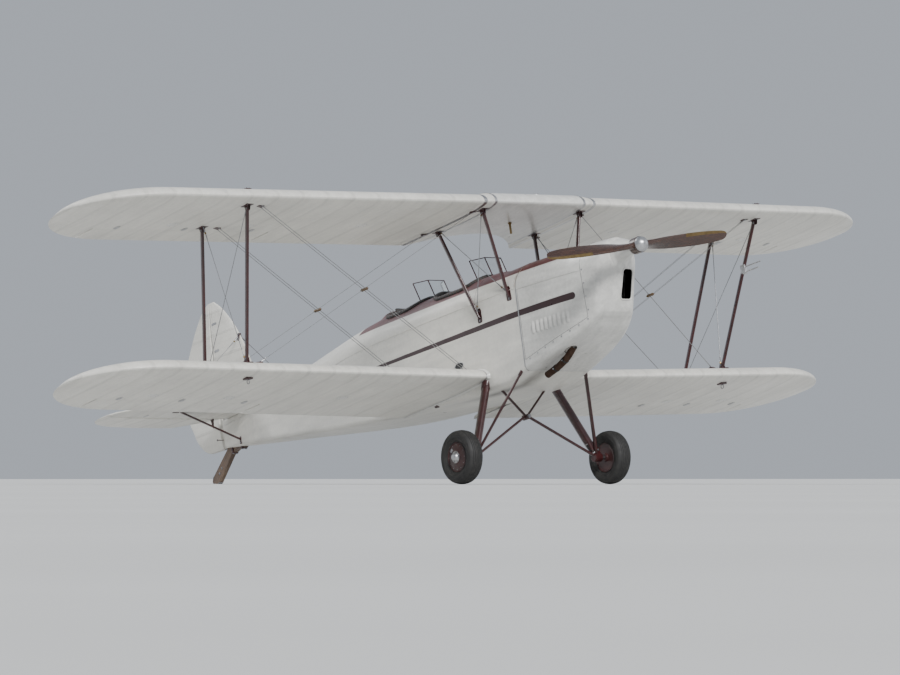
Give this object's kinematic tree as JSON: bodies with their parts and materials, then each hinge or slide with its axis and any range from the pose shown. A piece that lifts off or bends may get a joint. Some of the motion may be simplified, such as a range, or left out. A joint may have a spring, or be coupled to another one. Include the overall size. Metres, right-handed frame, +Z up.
{
  "type": "two-seat training biplane",
  "caption": "Single-engine biplane with swept wings, wire-braced struts, two open cockpits, fixed wheels and a tail skid, parked tail-down.",
  "frame": {"origin": "on the ground, on the centre plane, under the middle of the parked aircraft's length", "axes": "+X to port along the span, -Y towards the nose, +Z up; the aircraft sits tail-down by 12 degrees"},
  "size_m": [8.3764, 6.823, 2.4784],
  "materials": {
    "doped_fabric": "satin",
    "cowl_paint": "satin",
    "strut_paint": "satin",
    "wire_steel": "satin",
    "tyre_rubber": "matte",
    "wheel_paint": "satin",
    "propeller_wood": "gloss",
    "skid_wood": "matte",
    "alloy": "satin",
    "engine_alloy": "matte",
    "exhaust_iron": "matte",
    "seat_leather": "satin",
    "stick_steel": "satin",
    "panel_paint": "satin",
    "windscreen_glass": "gloss"
  },
  "bodies": {
    "airframe": {"fuselage_cockpits": "doped_fabric", "firewall": "alloy", "cowl": "cowl_paint", "engine": "engine_alloy", "exhaust": "exhaust_iron", "tailplane": "doped_fabric", "fin": "doped_fabric", "fuselage_tail": "doped_fabric", "tailplane_strut_left": "strut_paint", "tailplane_strut_right": "strut_paint", "wing_upper_left": "doped_fabric", "wing_lower_left": "doped_fabric", "wing_upper_right": "doped_fabric", "wing_lower_right": "doped_fabric", "centre_section": "doped_fabric", "cabane_front_left": "strut_paint", "cabane_rear_left": "strut_paint", "interplane_front_left": "strut_paint", "interplane_rear_left": "strut_paint", "flying_wire_front_left": "wire_steel", "flying_wire_rear_left": "wire_steel", "landing_wire_front_left": "wire_steel", "landing_wire_rear_left": "wire_steel", "cabane_front_right": "strut_paint", "cabane_rear_right": "strut_paint", "interplane_front_right": "strut_paint", "interplane_rear_right": "strut_paint", "flying_wire_front_right": "wire_steel", "flying_wire_rear_right": "wire_steel", "landing_wire_front_right": "wire_steel", "landing_wire_rear_right": "wire_steel", "pylon": "strut_paint", "axle_left": "strut_paint", "shock_leg_left": "strut_paint", "axle_right": "strut_paint", "shock_leg_right": "strut_paint", "tail_skid": "skid_wood", "instrument_panel_front": "panel_paint", "seat_front": "seat_leather", "stick_front": "stick_steel", "windscreen_front": "windscreen_glass", "instrument_panel_rear": "panel_paint", "seat_rear": "seat_leather", "stick_rear": "stick_steel", "windscreen_rear": "windscreen_glass"},
    "propeller": {"propeller": "propeller_wood", "spinner": "alloy"},
    "wheel_left": {"tyre_left": "tyre_rubber", "wheel_left": "wheel_paint"},
    "wheel_right": {"tyre_right": "tyre_rubber", "wheel_right": "wheel_paint"},
    "rudder": {"rudder": "doped_fabric"},
    "elevator": {"elevator": "doped_fabric"},
    "aileron_upper_left": {"aileron_upper_left": "doped_fabric"},
    "aileron_upper_right": {"aileron_upper_right": "doped_fabric"},
    "aileron_lower_left": {"aileron_lower_left": "doped_fabric"},
    "aileron_lower_right": {"aileron_lower_right": "doped_fabric"}
  },
  "joints": [
    {"name": "propeller_spin", "type": "hinge", "parent": "airframe", "child": "propeller", "pos_m": [0, -3.30748, 1.99607], "axis": [0, -0.978, 0.2088], "continuous": true},
    {"name": "wheel_left_roll", "type": "hinge", "parent": "airframe", "child": "wheel_left", "pos_m": [0.789, -1.90322, 0.23], "axis": [1, 0, 0], "continuous": true},
    {"name": "wheel_right_roll", "type": "hinge", "parent": "airframe", "child": "wheel_right", "pos_m": [-0.789, -1.90322, 0.23], "axis": [1, 0, 0], "continuous": true},
    {"name": "rudder_hinge", "type": "hinge", "parent": "airframe", "child": "rudder", "pos_m": [0, 2.79651, 0.59492], "axis": [0, 0.2088, 0.978], "range_deg": [-28, 28]},
    {"name": "elevator_hinge", "type": "hinge", "parent": "airframe", "child": "elevator", "pos_m": [0, 2.69871, 0.61579], "axis": [1, 0, 0], "range_deg": [-25, 28]},
    {"name": "aileron_upper_left_hinge", "type": "hinge", "parent": "airframe", "child": "aileron_upper_left", "pos_m": [2.05, -0.83468, 2.16755], "axis": [0.9898, 0.1426, 0.0017], "range_deg": [-20, 20]},
    {"name": "aileron_upper_right_hinge", "type": "hinge", "parent": "airframe", "child": "aileron_upper_right", "pos_m": [-2.05, -0.83468, 2.16755], "axis": [0.9898, -0.1426, -0.0017], "range_deg": [-20, 20]},
    {"name": "aileron_lower_left_hinge", "type": "hinge", "parent": "airframe", "child": "aileron_lower_left", "pos_m": [1.95, -0.56922, 0.7188], "axis": [0.989, 0.1466, 0.0208], "range_deg": [-20, 20]},
    {"name": "aileron_lower_right_hinge", "type": "hinge", "parent": "airframe", "child": "aileron_lower_right", "pos_m": [-1.95, -0.56922, 0.7188], "axis": [0.989, -0.1466, -0.0208], "range_deg": [-20, 20]}
  ],
  "couplings": [
    {"joint": "aileron_lower_left_hinge", "follows": "aileron_upper_left_hinge", "ratio": 1},
    {"joint": "aileron_upper_right_hinge", "follows": "aileron_upper_left_hinge", "ratio": -1},
    {"joint": "aileron_lower_right_hinge", "follows": "aileron_upper_left_hinge", "ratio": -1}
  ]
}
